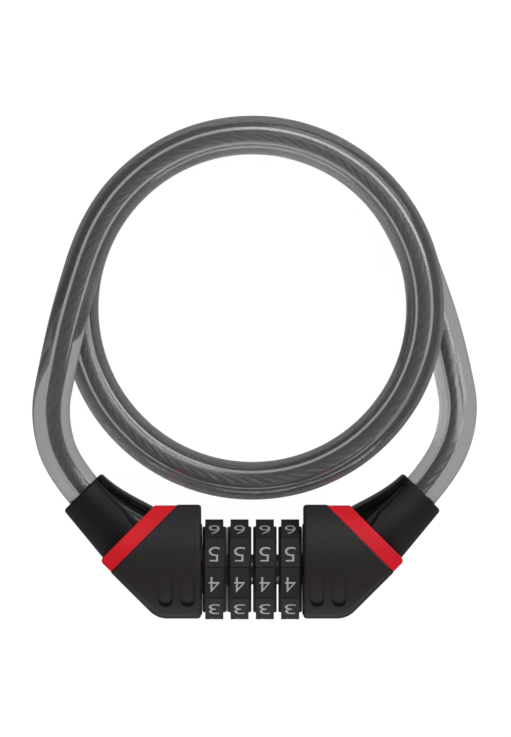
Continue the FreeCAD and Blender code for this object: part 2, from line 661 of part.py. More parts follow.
def sleeve_loft(name, outer_side, inset, sink):
    """Smooth body through four oval sections, from the collar to the mouth.

    outer_side is how far its outer side is from the centre line, for a share of the length;
    inset and sink are how far its inner side and its depth lie inside the sleeve's own.
    """
    sections = []
    for number, (share, flare, deep) in enumerate(SLEEVE_SECTIONS):
        outer = f"(sizes.cable_across + {outer_side(share)})"
        inner = (f"(sizes.cable_across - sizes.sleeve_mouth_radius"
                 f" - {flare} * {SLEEVE_FLARE} + {inset})")
        depth = (f"(sizes.sleeve_mouth_radius + {deep} * {SLEEVE_DEEPENING}"
                 f" - {0.5 + 0.5 * deep} * {sink})")
        sections.append(primitive(
            "Ellipse", f"{name}_section_{number}",
            x=f"({outer} + {inner}) / 2",
            z=f"{share} * sizes.sleeve_length",
            rotation=Rotation(Vector(0, 0, 1), 90),
            MajorRadius=f"max({depth}; ({outer} - {inner}) / 2 + 0.001)",
            MinorRadius=f"({outer} - {inner}) / 2",
        ))
    loft = doc.addObject("Part::Loft", name)
    loft.Sections = sections
    loft.Solid = True
    return loft


def scoop_region(name, side):
    """Prism beside the inner flank, above a floor, with a stepped edge that leans outwards."""
    region = doc.addObject("Sketcher::SketchObject", name + "_edge")
    region.Placement = Placement(Vector(), Rotation(Vector(1, 0, 0), 90))
    region.setExpression("Placement.Base.y", f"{side} * sizes.scoop_floor")
    edge, step = "(sizes.cable_across - sizes.scoop_edge)", "sizes.scoop_step"
    far, end = "(-sizes.sleeve_length)", "(sizes.sleeve_length - sizes.scoop_end)"
    outline(region, [
        (far, f"-{step}"), (edge, f"-{step}"), (edge, f"{step} / 2"),
        (f"{edge} - {step} / 5", f"{step} * 1.7"), (edge, "sizes.sleeve_length / 2"),
        (f"{edge} + {step} / 5", end), (far, end),
    ])
    prism = doc.addObject("Part::Extrusion", name)
    prism.Base = region
    prism.DirMode = "Normal"
    prism.Reversed = side > 0
    prism.Solid = True
    prism.setExpression("LengthFwd", "sizes.body_depth")
    prism.setExpression("TaperAngle", "sizes.scoop_lean")
    return prism


def sleeve(name, hand):
    """Cable sleeve: a skin with a scooped inner flank over a core, bored for ferrule and cable."""
    skin = sleeve_loft(name + "_skin",
                       lambda share: f"sizes.sleeve_mouth_radius + {1 - share} * {SLEEVE_SPREAD}",
                       "0", "0")
    core = sleeve_loft(name + "_core", lambda share: "sizes.scoop_edge * 0.6",
                       "sizes.scoop_inset", "sizes.scoop_depth")
    for side in (1, -1):
        cutter = scoop_region(f"{name}_scoop_{side + 1}", side)
        skin = combine("Cut", f"{name}_scooped_{side + 1}", skin, cutter)
    whole = combine("Fuse", name + "_whole", skin, core)
    whole.Refine = True
    ferrule_bore_part = primitive(
        "Cylinder", name + "_ferrule_bore", x="sizes.cable_across", z="-1",
        Radius="sizes.ferrule_radius + sizes.ferrule_clearance",
        Height=f"sizes.ferrule_start + sizes.ferrule_length - {COLLAR_END} + 1",
    )
    bored = combine("Cut", name + "_bored", whole, ferrule_bore_part)
    cable_bore = primitive(
        "Cylinder", name + "_cable_bore", x="sizes.cable_across", z="-1",
        Radius="sizes.cable_diameter / 2 + sizes.cable_clearance",
        Height="sizes.sleeve_length + 2",
    )
    open_sleeve = combine("Cut", name + "_open", bored, cable_bore)
    doc.recompute()
    edges = open_sleeve.Shape.Edges
    at_mouth = [i for i, e in enumerate(edges) if near(e.BoundBox.ZMin, value("sizes.sleeve_length"))]
    rim = max(at_mouth, key=lambda i: edges[i].Length)
    rounded = doc.addObject("Part::Fillet", name)
    rounded.Base = open_sleeve
    radius = value("sizes.sleeve_edge_radius")
    rounded.Edges = [(rim + 1, radius, radius)]
    return finish(rounded, name, x=f"{hand} * {COLLAR_END} / sqrt(2)",
                  y=f"{COLLAR_END} / sqrt(2)", rotation=slanted(hand))


def ferrule(name, hand):
    """Steel crimp on the cable's end, with a cross hole."""
    body = primitive("Cylinder", name + "_blank", Radius="sizes.ferrule_radius",
                     Height="sizes.ferrule_length")
    hole = primitive("Cylinder", name + "_hole", y="-sizes.body_depth",
                     z=f"{FERRULE_PIN} - sizes.ferrule_start",
                     rotation=Rotation(Vector(1, 0, 0), -90),
                     Radius="sizes.ferrule_pin_radius + sizes.pin_clearance",
                     Height="sizes.body_depth * 2")
    piece = combine("Cut", name, body, hole)
    return finish(piece, name,
                  x=slant_x(hand, "sizes.ferrule_start", "sizes.cable_across"),
                  y=slant_y("sizes.ferrule_start", "sizes.cable_across"), rotation=slanted(hand))


def cross_pin(name, radius, x, y):
    """Press-fitted pin along Z, its end just below the back."""
    pin = primitive("Cylinder", name, Radius=radius,
                    Height=f"{AXIS_HEIGHT} - sizes.pin_recess + sizes.pin_end")
    return finish(pin, name, x=x, y=y, z=f"sizes.pin_recess - {AXIS_HEIGHT}")


# ---------------------------------------------------------------- dials

def dial_ring(number):
    """Ten-sided number dial with round shoulders and a splined bore."""
    name = f"dial_ring_{number}"
    body = new_body(name)
    rim = sketch_on(body, name + "_rim", "YZ_Plane")
    circle(rim, "sizes.dial_corner_radius")
    pad(body, name + "_blank", rim, "sizes.dial_rim_width")

    turned = Placement(Vector(), Rotation(Vector(0, 0, 1), 1))
    half = 180 / FACETS
    facet = sketch_on(body, name + "_facet", "YZ_Plane", turn=turned)
    facet.setExpression("AttachmentOffset.Rotation.Angle", f"{half} - sizes.dial_seam_turn")
    chord = f"(sizes.dial_corner_radius * sin({half}))"
    flat = f"(sizes.dial_corner_radius * cos({half}))"
    hollow = "sizes.dial_facet_hollow"
    setback = f"(({chord} ^ 2 - {hollow} ^ 2) / (2 * {hollow}))"
    circle(facet, f"({setback} + {hollow})", v=f"({flat} + {setback})")
    cut = pocket(body, name + "_facet_cut", facet, "sizes.dial_rim_width * 2")
    around(body, name + "_facets", cut, FACETS)

    seam = sketch_on(body, name + "_seam", "YZ_Plane", turn=turned)
    seam.setExpression("AttachmentOffset.Rotation.Angle", "-sizes.dial_seam_turn")
    notch(seam, "sizes.dial_seam_width", "sizes.dial_corner_radius",
          "-sizes.dial_seam_depth")
    groove = pocket(body, name + "_seam_cut", seam, "sizes.dial_rim_width * 2")
    around(body, name + "_seams", groove, FACETS)

    hub = sketch_on(body, name + "_hub", "YZ_Plane")
    circle(hub, "sizes.dial_hub_radius")
    pad(body, name + "_shoulders", hub, HUB_WIDTH)
    edge = value(f"{HUB_WIDTH} / 2")
    round_edges(body, name + "_shoulder_edges", "sizes.turned_edge",
                lambda e: near(abs(e.CenterOfMass.x), edge), kind="Chamfer")

    opening = sketch_on(body, name + "_opening", "YZ_Plane")
    circle(opening, "sizes.dial_bore_radius")
    pocket(body, name + "_bore", opening, "sizes.dial_pitch * 2")
    spline = sketch_on(body, name + "_spline", "YZ_Plane")
    side = "(sizes.spline_width / 2 + sizes.spline_clearance)"
    rectangle(spline, f"-{side}", side, f"({RING_OUTSIDE} - sizes.spline_height)",
              f"({RING_OUTSIDE} + sizes.spline_height + sizes.spline_clearance)")
    cut = pocket(body, name + "_spline_cut", spline, "sizes.dial_pitch * 2")
    around(body, name + "_splines", cut, FACETS)
    return finish(body, name, x=dial_x(number))


def code_ring(number):
    """Inner ring of a dial: lug groove inside, keyway, click notches, and splines outside."""
    name = f"code_ring_{number}"
    body = new_body(name)
    half, half_groove = f"{RING_WIDTH} / 2", "sizes.ring_groove_width / 2"
    profile = sketch_on(body, name + "_profile", "XY_Plane")
    outline(profile, [
        (f"-{half}", RING_BORE), (f"-{half}", RING_OUTSIDE),
        (half, RING_OUTSIDE), (half, RING_BORE),
        (half_groove, RING_BORE), (half_groove, "sizes.ring_groove_radius"),
        (f"-{half_groove}", "sizes.ring_groove_radius"), (f"-{half_groove}", RING_BORE),
    ])
    revolve(body, name + "_ring", profile)

    keyway = sketch_on(body, name + "_keyway", "YZ_Plane")
    side = "sizes.keyway_width / 2"
    rectangle(keyway, f"-{side}", side, "-sizes.ring_groove_radius", "0")
    pocket(body, name + "_keyway_cut", keyway, f"{RING_WIDTH} * 2")

    detent = sketch_on(body, name + "_detent", "YZ_Plane")
    notch(detent, "sizes.detent_width", RING_BORE, "sizes.detent_depth")
    cut = pocket(body, name + "_detent_cut", detent, f"{RING_WIDTH} * 2")
    around(body, name + "_detents", cut, FACETS)

    spline = sketch_on(body, name + "_spline", "YZ_Plane")
    side = "sizes.spline_width / 2"
    rectangle(spline, f"-{side}", side, f"({RING_OUTSIDE} - sizes.spline_height)",
              f"({RING_OUTSIDE} + sizes.spline_height)")
    ridge = pad(body, name + "_spline_pad", spline, RING_WIDTH)
    around(body, name + "_splines", ridge, FACETS)
    return finish(body, name, x=dial_x(number))


def dial_spacer():
    """Thin washer on the spindle that closes the gap between the first two dials."""
    body = new_body("dial_spacer")
    ring = sketch_on(body, "spacer_ring", "YZ_Plane")
    circle(ring, "sizes.spacer_radius")
    circle(ring, RING_BORE)
    pad(body, "spacer_pad", ring, "(sizes.dial_gap - 2 * sizes.spacer_play)")
    keyway = sketch_on(body, "spacer_keyway", "YZ_Plane")
    side = "sizes.keyway_width / 2"
    rectangle(keyway, f"-{side}", side, "-sizes.ring_groove_radius", "0")
    pocket(body, "spacer_keyway_cut", keyway, "sizes.dial_gap * 2")
    return finish(body, "dial_spacer", x="-sizes.dial_pitch")


# ---------------------------------------------------------------- spindle and shaft

def spindle():
    """Slotted tube fixed in the lock housing: flange, bore for the shaft, ring and spring grooves."""
    body = new_body("spindle")
    root = f"-{ROOT}"
    stack = f"({STACK_HALF} - sizes.dial_gap / 2)"
    tube, inside = "sizes.spindle_radius", "(sizes.shaft_radius + sizes.ring_clearance)"
    blind = f"-({FACE} + sizes.end_gap)"
    groove = f"({stack} + sizes.retainer_play)"
    groove_end = f"({groove} + sizes.flange_width + sizes.retainer_play)"
    bevel = "sizes.turned_edge"
    profile = sketch_on(body, "spindle_profile", "XY_Plane")
    outline(profile, [
        (root, "0"), (root, tube),
        (f"-({stack} + sizes.flange_width)", tube),
        (f"-({stack} + sizes.flange_width)", "sizes.flange_radius"),
        (f"-{stack}", "sizes.flange_radius"), (f"-{stack}", tube),
        (groove, tube), (groove, "sizes.retainer_groove_radius"),
        (groove_end, "sizes.retainer_groove_radius"), (groove_end, tube),
        (f"({SPINDLE_END} - {bevel})", tube), (SPINDLE_END, f"({tube} - {bevel})"),
        (SPINDLE_END, inside), (blind, inside), (blind, "0"),
    ])
    revolve(body, "spindle_turned", profile)

    slot_cut = sketch_on(body, "spindle_slot", "XY_Plane")
    side = "sizes.spindle_slot_width / 2"
    rectangle(slot_cut, f"-{stack}", f"({SPINDLE_END} + 1)", f"-{side}", side)
    pocket(body, "spindle_slot_cut", slot_cut, "sizes.flange_radius", False)

    rest = sketch_on(body, "spring_seat", "XY_Plane", offset=SPRING_FLOOR)
    half = "(sizes.spring_width / 2 + sizes.ring_clearance)"
    rectangle(rest, f"-{SPRING_HALF}", SPRING_HALF, f"-{half}", half)
    pocket(body, "spring_seat_cut", rest, "sizes.flange_radius", False, True)
    bore(body, "spindle_pin_hole", "(sizes.pin_radius + sizes.pin_clearance)",
         "sizes.body_depth", (CROSS_PIN_X[LEFT], "0", "-sizes.body_depth / 2"), Vector(0, 0, 1))
    return finish(body, "spindle")


def retaining_ring():
    """Open spring ring in the spindle's end groove, its gap over the slot."""
    body = new_body("retaining_ring")
    place = (f"({STACK_HALF} - sizes.dial_gap / 2 + sizes.retainer_play * 1.5"
             f" + sizes.flange_width / 2)")
    ring = sketch_on(body, "retainer_ring", "YZ_Plane")
    circle(ring, "sizes.flange_radius")
    circle(ring, "(sizes.retainer_groove_radius + sizes.pin_clearance)")
    pad(body, "retainer_pad", ring, "sizes.flange_width")
    gap = sketch_on(body, "retainer_gap", "YZ_Plane")
    side = "(sizes.keyway_width / 2 + sizes.ring_clearance)"
    rectangle(gap, f"-{side}", side, "-sizes.flange_radius * 2", "0")
    pocket(body, "retainer_gap_cut", gap, "sizes.flange_width * 2")
    return finish(body, "retaining_ring", x=place)


def click_spring():
    """Strip spring in the spindle's flat groove with a bump under each code ring, pressed in."""
    body = new_body("click_spring")
    strip = sketch_on(body, "spring_strip", "XY_Plane", offset=SPRING_FLOOR)
    half = "sizes.spring_width / 2"
    long_half = f"({SPRING_HALF} - sizes.ring_clearance)"
    rectangle(strip, f"-{long_half}", long_half, f"-{half}", half)
    pad(body, "spring_strip_pad", strip, "sizes.spring_thickness", False)
    bump = sketch_on(body, "spring_bump", "XZ_Plane")
    top = "(sizes.spindle_radius - 2 * sizes.ring_clearance)"
    low = f"({SPRING_FLOOR} + sizes.spring_thickness / 2)"
    under = f"({dial_x(1)} + ({RING_WIDTH} + sizes.ring_groove_width) / 4)"
    half_round(bump, under, f"({top} - {low})", low)
    ridge = pad(body, "spring_bump_pad", bump, "sizes.spring_width / 2")
    row = body.newObject("PartDesign::LinearPattern", "spring_bumps")
    row.Originals = [ridge]
    row.Direction = (plane(body, "X_Axis"), [""])
    row.setExpression("Length", f"sizes.dial_pitch * {DIALS - 1}")
    row.Occurrences = DIALS
    body.Tip = row
    return finish(body, "click_spring")


def plug_shaft():
    """The plug's shaft, with a lug for each dial and a pinned head."""
    body = new_body("plug_shaft")
    tip = f"-({STACK_HALF} - sizes.dial_gap)"
    shaft, head = "sizes.shaft_radius", "sizes.spindle_radius"
    profile = sketch_on(body, "shaft_profile", "XY_Plane")
    outline(profile, [
        (tip, "0"), (tip, f"{shaft} / 2"), (f"({tip} + {shaft} / 2)", shaft),
        (SHOULDER, shaft), (SHOULDER, head), (HEAD_END, head), (HEAD_END, "0"),
    ])
    revolve(body, "shaft_turned", profile)
    lug = sketch_on(body, "shaft_lug", "YZ_Plane", offset=dial_x(1))
    side = "sizes.lug_width / 2"
    rectangle(lug, f"-{side}", side, f"-{LUG_RADIUS}", "0")
    first = pad(body, "shaft_lug_pad", lug, "sizes.lug_length")
    row = body.newObject("PartDesign::LinearPattern", "shaft_lugs")
    row.Originals = [first]
    row.Direction = (plane(body, "X_Axis"), [""])
    row.setExpression("Length", f"sizes.dial_pitch * {DIALS - 1}")
    row.Occurrences = DIALS
    body.Tip = row
    bore(body, "shaft_pin_hole", "(sizes.pin_radius + sizes.pin_clearance)",
         "sizes.body_depth", (CROSS_PIN_X[RIGHT], "0", "-sizes.body_depth / 2"), Vector(0, 0, 1))
    return finish(body, "plug_shaft")


# ---------------------------------------------------------------- cable

def coil():
    """Outer form of the wound cable: a flat hollow drum that stands on the table."""
    height = f"((sizes.layer_pitch) * {LAYERS - 1} + sizes.cable_diameter)"
    outside = primitive("Cylinder", "coil_outside", Height=height,
                        Radius="sizes.coil_radius + sizes.cable_diameter / 2")
    inside = primitive("Cylinder", "coil_inside", Height=height,
                       Radius="sizes.coil_radius - sizes.cable_diameter / 2")
    piece = combine("Cut", "cable_coil", outside, inside)
    return finish(piece, "cable_coil", y="sizes.coil_centre", z=f"-{AXIS_HEIGHT}")


def arm(name, points, gap):
    """Round tube through the points, cut back to leave a gap to the coil."""
    lift = value(AXIS_Y)
    corners = [Vector(x, y + lift, z) for x, y, z in points]
    runs = [b - a for a, b in zip(corners, corners[1:])]
    edges = []
    last = corners[0]
    for corner, before, after in zip(corners[1:], runs, runs[1:]):
        turn = before.getAngle(after)
        reach = 0.45 * min(before.Length, after.Length)
        start = corner - before.normalize() * reach
        end = corner + Vector(after).normalize() * reach
        radius = reach / math.tan(turn / 2)
        inward = (start + end) * 0.5 - corner
        depth = radius / math.cos(turn / 2) - radius
        middle = corner + inward.normalize() * depth
        edges.append(Part.LineSegment(last, start).toShape())
        edges.append(Part.Arc(start, middle, end).toShape())
        print(f"{name}: bend radius {radius:.1f}")
        last = end
    edges.append(Part.LineSegment(last, corners[-1]).toShape())
    path = Part.Wire(edges)
    half = value("sizes.cable_diameter / 2")
    section = Part.Wire(Part.Circle(corners[0], corners[1] - corners[0], half).toShape())
    tube = path.makePipeShell([section], True, False)
    ideal = math.pi * half ** 2 * path.Length
    print(f"{name}: {path.Length:.1f} long, volume {tube.Volume / ideal:.5f} of section times length")
    centre = Vector(0, value("sizes.coil_centre") + lift, -half)
    height = value(f"sizes.layer_pitch * {LAYERS} + sizes.cable_diameter")
    wall = Part.makeCylinder(value("sizes.coil_radius") + half + gap, height, centre)
    piece = doc.addObject("Part::Feature", name)
    piece.Shape = tube.cut(wall)
    piece.Label = name
    NODES.append(piece)
    return piece


# ---------------------------------------------------------------- the lock

for side, hand in (("lock", LEFT), ("plug", RIGHT)):
    housing(f"{side}_housing", hand)
    collar(f"{side}_collar", hand)
    sleeve(f"{side}_sleeve", hand)
    ferrule(f"{side}_ferrule", hand)
    cross_pin(f"{side}_ferrule_pin", "sizes.ferrule_pin_radius",
              slant_x(hand, FERRULE_PIN, "sizes.cable_across"),
              slant_y(FERRULE_PIN, "sizes.cable_across"))
cross_pin("spindle_pin", "sizes.pin_radius", CROSS_PIN_X[LEFT], "0")
cross_pin("shaft_pin", "sizes.pin_radius", CROSS_PIN_X[RIGHT], "0")
spindle()
retaining_ring()
click_spring()
dial_spacer()
plug_shaft()
for number in range(1, DIALS + 1):
    dial_ring(number)
    code_ring(number)
coil()
arm("cable_arm_left", LEFT_ARM, 0)
arm("cable_arm_right", RIGHT_ARM, value("sizes.coil_gap"))
doc.recompute()

for item in doc.Objects:
    if "Invalid" in item.State or "Error" in item.State:
        raise RuntimeError(f"{item.Name} failed: {item.State}")
for node in NODES:
    if node.Shape.isNull() or not node.Shape.isValid() or len(node.Shape.Solids) != 1:
        raise RuntimeError(f"{node.Label} is not one valid solid")
os.makedirs("parts", exist_ok=True)
for node in NODES:
    node.Shape.exportStep(f"parts/{node.Label}.step")
box = FreeCAD.BoundBox()
for node in NODES:
    box.add(node.Shape.BoundBox)
print(f"{len(NODES)} pieces, {box.XLength:.1f} x {box.YLength:.1f} x {box.ZLength:.1f}")
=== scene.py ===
"""Looks of a four-dial cable lock: sheathed wire rope, numerals, finishes, lamps and camera."""

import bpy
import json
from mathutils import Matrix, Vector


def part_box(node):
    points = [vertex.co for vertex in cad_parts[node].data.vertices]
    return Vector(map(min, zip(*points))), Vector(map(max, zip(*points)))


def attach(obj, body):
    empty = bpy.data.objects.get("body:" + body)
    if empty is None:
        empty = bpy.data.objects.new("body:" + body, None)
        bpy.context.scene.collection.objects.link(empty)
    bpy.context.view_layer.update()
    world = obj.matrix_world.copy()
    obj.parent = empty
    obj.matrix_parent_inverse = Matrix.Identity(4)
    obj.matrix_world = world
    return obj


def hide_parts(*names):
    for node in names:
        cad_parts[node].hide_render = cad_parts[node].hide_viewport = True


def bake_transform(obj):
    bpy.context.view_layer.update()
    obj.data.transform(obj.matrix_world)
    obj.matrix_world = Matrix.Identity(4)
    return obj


bl_info = {
    "name": "Cable Lock",
    "version": (1, 0, 0),
    "blender": (4, 5, 0),
    "location": "3D View > Sidebar > Cable Lock",
    "description": "Rope, sheath, numerals, finishes and stage of a four-dial cable lock",
    "category": "Object",
}

import json
import math

import bpy
import numpy as np
from mathutils import Vector

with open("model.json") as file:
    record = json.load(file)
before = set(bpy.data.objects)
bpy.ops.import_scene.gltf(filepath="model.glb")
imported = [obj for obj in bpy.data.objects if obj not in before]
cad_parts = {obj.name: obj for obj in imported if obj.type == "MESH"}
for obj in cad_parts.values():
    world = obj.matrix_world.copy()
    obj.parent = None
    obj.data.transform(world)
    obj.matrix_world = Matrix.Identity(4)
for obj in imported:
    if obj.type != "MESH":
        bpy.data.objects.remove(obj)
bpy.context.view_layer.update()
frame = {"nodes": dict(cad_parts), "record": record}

# A millimetre in metres, and a point of the axis that the dials turn about.
MM = 0.001
AXIS = np.mean(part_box("dial_ring_1"), axis=0)

# ---------------------------------------------------------------- numbers of the lock itself

DIALS = 4
NUMERALS = 10
# A dial's facets: how far their middle lies from the dial axis, the radius of their hollow, and the
# turn from one to the next in degrees.
FACET_MIDDLE = 0.012905
FACET_HOLLOW = 0.04144
FACET_TURN = 36
# The seam below this number lies this many degrees from straight up, towards the loop.
SEAM_NUMBER = 5
SEAM_TURN = 2.9
# A numeral's curves have this many points, and its strokes are thinner by this share of its size.
DIGIT_POINTS = 6
DIGIT_THINNER = 0.01

# How far below the frame's origin the sleeves' centre lines meet the Y axis, and the distances from
# those lines between which a sleeve's matt skin gives way to its polished scoops, whose colour is
# painted darker there as painted shade.
SLEEVE_LINE = 0.02432 - AXIS[1]
SKIN_TO = 0.0046
POLISH_AND_SHADE_FROM = 0.0052

# The cable's way, as in the part's source: points from the lock's sleeve to the coil, and from the
# plug's sleeve to the coil, in millimetres, X and Y from the dial axis and Z above the table.
LEFT_ARM = [
    (-39.03, 14.71, 14.3),
    (-49.80, 25.48, 14.3),
    (-54.10, 40.30, 18.5),
    (-51.30, 54.50, 24.0),
    (-48.00, 69.30, 25.4),
]
RIGHT_ARM = [
    (39.03, 14.71, 14.3),
    (49.80, 25.48, 14.3),
    (55.50, 40.30, 11.0),
    (52.95, 54.50, 6.3),
    (49.00, 69.30, 5.0),
]
# The coil in the same millimetres: its middle, its radius, and the heights of its layers.
COIL_CENTRE = (0.0, 69.3)
COIL_RADIUS = 45.8
LAYER_HEIGHTS = (25.4, 15.2, 5.0)
# Angles of the coil in degrees from the X axis. Its points start at FIRST_POINT and go on clockwise
# by COIL_STEP. Each turn is counted from JOINS_AT, and is level over LEVEL_TURN.
FIRST_POINT = 151.3
COIL_STEP = 22.68
COIL_POINTS = 38
JOINS_AT = 161.5
LEVEL_TURN = 141.5
# Points between two neighbouring points of the route, where its smooth line is read.
LINE_POINTS = 24

# The rope eases towards the inside of a bend over this length.
EASED_OVER = 0.033
# Wires that a line along a strand crosses in a metre.
WIRE_SLANT = 4.0
# How far apart the rows of points of sheath and rope lie, and the points in a row: round the
# sheath, round its bore, and on each strand.
SHEATH_STEP = 0.0012
ROPE_STEP = 0.0008
AROUND_SHEATH = 64
AROUND_BORE = 36
AROUND_STRAND = 8

# ---------------------------------------------------------------- numbers of the stage

# The floor: half its side, its colour, how bright it looks where 1 is white, and the share of that
# which gloss mirrors.
FLOOR_REACH = 6.0
FLOOR_COLOUR = (0.12, 0.12, 0.12)
FLOOR_WHITE = 0.97
FLOOR_IN_GLOSS = 0.25
# The surroundings: the Y of a direction, of length 1, and the grey seen along it.
ROOM_GREYS = ((0.0, 0.3), (0.8, 0.15))
# Each lamp's name, its place from the lamps' middle, its width and height, and its power in watts.
LAMPS_MIDDLE = (0.0, 0.045, 0.0)
LAMPS = (
    ("key_lamp", (0.35, 0.5, 0.88), 1.0, 0.26, 6.8),
    ("back_lamp", (0.55, 0.85, 0.62), 1.0, 0.25, 4.0),
    ("low_lamp", (0.0, -1.0, 0.18), 1.6, 0.36, 10.0),
    ("rim_lamp", (0.15, 1.0, 0.12), 0.8, 0.12, 1.0),
)
# The point under the camera from which its distance counts, and its sensor's size in millimetres.
LOOKS_AT = (0.00087, AXIS[1] + 0.05324, 0.015)
SENSOR = 36


# ---------------------------------------------------------------- sizes and colours

class CableSizes(bpy.types.PropertyGroup):
    """Sizes of the sheathed rope."""

    sheath: bpy.props.FloatProperty(
        name="Sheath", description="Outside diameter of the clear sheath",
        default=0.0100, min=0.004, max=0.02, unit="LENGTH")
    bore: bpy.props.FloatProperty(
        name="Bore", description="Diameter of the hole that the rope lies in",
        default=0.0034, min=0.002, max=0.01, unit="LENGTH")
    rope: bpy.props.FloatProperty(
        name="Rope", description="Outside diameter of the steel rope",
        default=0.0033, min=0.002, max=0.01, unit="LENGTH")
    lay: bpy.props.FloatProperty(
        name="Lay", description="Length in which a strand goes once round the rope",
        default=0.023, min=0.01, max=0.06, unit="LENGTH")
    strands: bpy.props.IntProperty(
        name="Strands", description="Strands of the rope", default=6, min=3, max=12)
    wires: bpy.props.IntProperty(
        name="Wires", description="Wires that show on a strand", default=3, min=2, max=12)
    drift: bpy.props.FloatProperty(
        name="Drift", description="How far the rope lies towards the inside of the bends",
        default=0.0002, min=0.0, max=0.002, unit="LENGTH")


class NumeralSizes(bpy.types.PropertyGroup):
    """Sizes of the numbers on the dials."""

    height: bpy.props.FloatProperty(
        name="Height", description="Height of a numeral",
        default=0.0041, min=0.002, max=0.006, unit="LENGTH")
    width: bpy.props.FloatProperty(
        name="Width", description="Width of a numeral",
        default=0.00285, min=0.001, max=0.004, unit="LENGTH")
    rise: bpy.props.FloatProperty(
        name="Rise", description="Height of the print above a facet",
        default=0.00004, min=0.0, max=0.0002, unit="LENGTH")
    shift: bpy.props.FloatProperty(
        name="Shift", description="Numeral from the middle of its facet, towards its own top",
        default=0.0005, min=-0.002, max=0.002, unit="LENGTH")


class LockColours(bpy.types.PropertyGroup):
    """Colours of the lock's finishes."""

    housing: bpy.props.FloatVectorProperty(
        name="Housing", description="Moulded housings",
        default=(0.0185, 0.0150, 0.0158), size=3, subtype="COLOR")
    collar: bpy.props.FloatVectorProperty(
        name="Collar", description="Collars between housing and sleeve",
        default=(0.60, 0.0085, 0.018), size=3, subtype="COLOR")
    sleeve: bpy.props.FloatVectorProperty(
        name="Sleeve", description="Sleeves that the cable leaves through",
        default=(0.0065, 0.0065, 0.007), size=3, subtype="COLOR")
    dial: bpy.props.FloatVectorProperty(
        name="Dial", description="Number dials",
        default=(0.0228, 0.0198, 0.0206), size=3, subtype="COLOR")
    numeral: bpy.props.FloatVectorProperty(
        name="Numeral", description="Printed numbers",
        default=(0.36, 0.35, 0.35), size=3, subtype="COLOR")
    sheath: bpy.props.FloatVectorProperty(
        name="Sheath", description="Tint of the clear sheath",
        default=(0.335, 0.335, 0.338), size=3, subtype="COLOR")
    steel: bpy.props.FloatVectorProperty(
        name="Steel", description="Galvanised wire and turned steel",
        default=(0.66, 0.66, 0.67), size=3, subtype="COLOR")


class StageSettings(bpy.types.PropertyGroup):
    """Camera distance and the light's strength."""

    distance: bpy.props.FloatProperty(
        name="Distance", description="Camera above the lock",
        default=4.0, min=0.3, max=10.0, unit="LENGTH")
    view_height: bpy.props.FloatProperty(
        name="View height", description="Height of what the camera sees",
        default=0.1953, min=0.05, max=2.0, unit="LENGTH")
    lamps: bpy.props.FloatProperty(
        name="Lamps", description="Strength of all lamps together",
        default=1.0, min=0.0, max=10.0)


# ---------------------------------------------------------------- finishes

# Sockets of a Mix node that mixes colours. It has others with the same names.
MIX_FACTOR, MIX_FIRST, MIX_LAST, MIX_RESULT = 0, 6, 7, 2


class Wire:
    """A number that a shader node gives. Sums, differences and products of it add Math nodes."""

    def __init__(self, tree, socket):
        self.tree = tree
        self.socket = socket

    def maths(self, operation, *terms):
        """The result of a Math node with those terms, which are numbers or wires."""
        return self.tree.add("ShaderNodeMath", {"operation": operation}, dict(enumerate(terms)))

    def __add__(self, other):
        return self.maths("ADD", self, other)

    def __sub__(self, other):
        return self.maths("SUBTRACT", self, other)

    def __rsub__(self, other):
        return self.maths("SUBTRACT", other, self)

    def __mul__(self, other):
        return self.maths("MULTIPLY", self, other)

    __radd__ = __add__
    __rmul__ = __mul__

    def size(self):
        """The number without its sign."""
        return self.maths("ABSOLUTE", self)

    def greater(self, other):
        """The greater of the two numbers."""
        return self.maths("MAXIMUM", self, other)

    def ridges(self):
        """The size of sin(pi x), which is 0 at each whole number and 1 half-way between two."""
        return self.maths("SINE", math.pi * self).size()


class Tree:
    """Shader nodes that end in one output, and the one way in which they are added."""

    def __init__(self, tree, output):
        tree.nodes.clear()
        self.tree = tree
        self.output = tree.nodes.new(output)

    def add(self, kind, settings, inputs, output=0):
        """Adds a node of that kind and gives one of its outputs.

        Settings are the node's attributes by name, with a ramp's two stops as "stops". Inputs are
        values or wires by their socket's name or number.
        """
        node = self.tree.nodes.new(kind)
        for name, setting in settings.items():
            if name == "stops":
                for stop, (position, colour) in zip(node.color_ramp.elements, setting):
                    stop.position, stop.color = position, colour
            else:
                setattr(node, name, setting)
        for name, given in inputs.items():
            if isinstance(given, Wire):
                self.tree.links.new(given.socket, node.inputs[name])
            else:
                node.inputs[name].default_value = given
        return Wire(self, node.outputs[output])

    def show(self, wire):
        """The output shows what that wire gives."""
        self.tree.links.new(wire.socket, self.output.inputs["Surface"])

    def part(self, vector, name):
        """The X, Y or Z of a vector."""
        return self.add("ShaderNodeSeparateXYZ", {}, {"Vector": vector}, name)

    def ray(self, kind):
        """1 for rays of that kind, and 0 for the others."""
        return self.add("ShaderNodeLightPath", {}, {}, kind)


